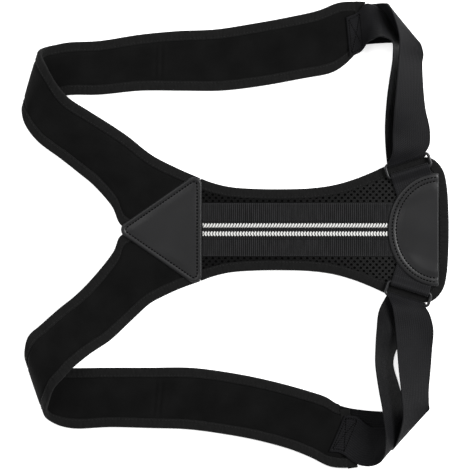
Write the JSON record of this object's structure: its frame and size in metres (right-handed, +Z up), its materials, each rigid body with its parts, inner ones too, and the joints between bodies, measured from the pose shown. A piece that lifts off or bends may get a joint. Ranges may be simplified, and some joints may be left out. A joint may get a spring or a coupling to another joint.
{
  "type": "posture corrector",
  "caption": "Padded upper-back posture corrector with turned shoulder straps, a ribbed spine webbing, leather patches and side webbings looped through rings, lying flat.",
  "frame": {"origin": "on the table, under the middle of the bounding box", "axes": "+Z up from the table, +Y towards the wearer's right shoulder, +X from the neck to the lumbar edge"},
  "size_m": [0.41, 0.4492, 0.0376],
  "materials": {
    "velour": "brushed loop velour",
    "spacer_mesh": "knitted spacer mesh",
    "binding_tape": "woven tape",
    "webbing": "woven nylon",
    "elastic": "ribbed elastic",
    "reflective": "reflective yarn",
    "leather": "smooth coated",
    "ring": "moulded satin",
    "hook_tape": "hook tape"
  },
  "bodies": {
    "root": {"back_panel": "spacer_mesh", "panel_binding": "binding_tape", "spine_webbing": "elastic", "stripe_right": "reflective", "stripe_left": "reflective", "shoulder_patch": "leather", "lumbar_patch": "leather", "strap_pad_right": "velour", "strap_pad_left": "velour", "strap_arm_binding_right": "binding_tape", "strap_arm_binding_left": "binding_tape", "strap_neck_binding_right": "binding_tape", "strap_neck_binding_left": "binding_tape", "strap_end_binding_right": "binding_tape", "strap_end_binding_left": "binding_tape", "ring_right": "ring", "ring_left": "ring", "ring_tab_right": "webbing", "ring_tab_left": "webbing", "side_webbing_right": "webbing", "side_webbing_left": "webbing", "hook_tab_right": "hook_tape", "hook_tab_left": "hook_tape"}
  },
  "joints": []
}
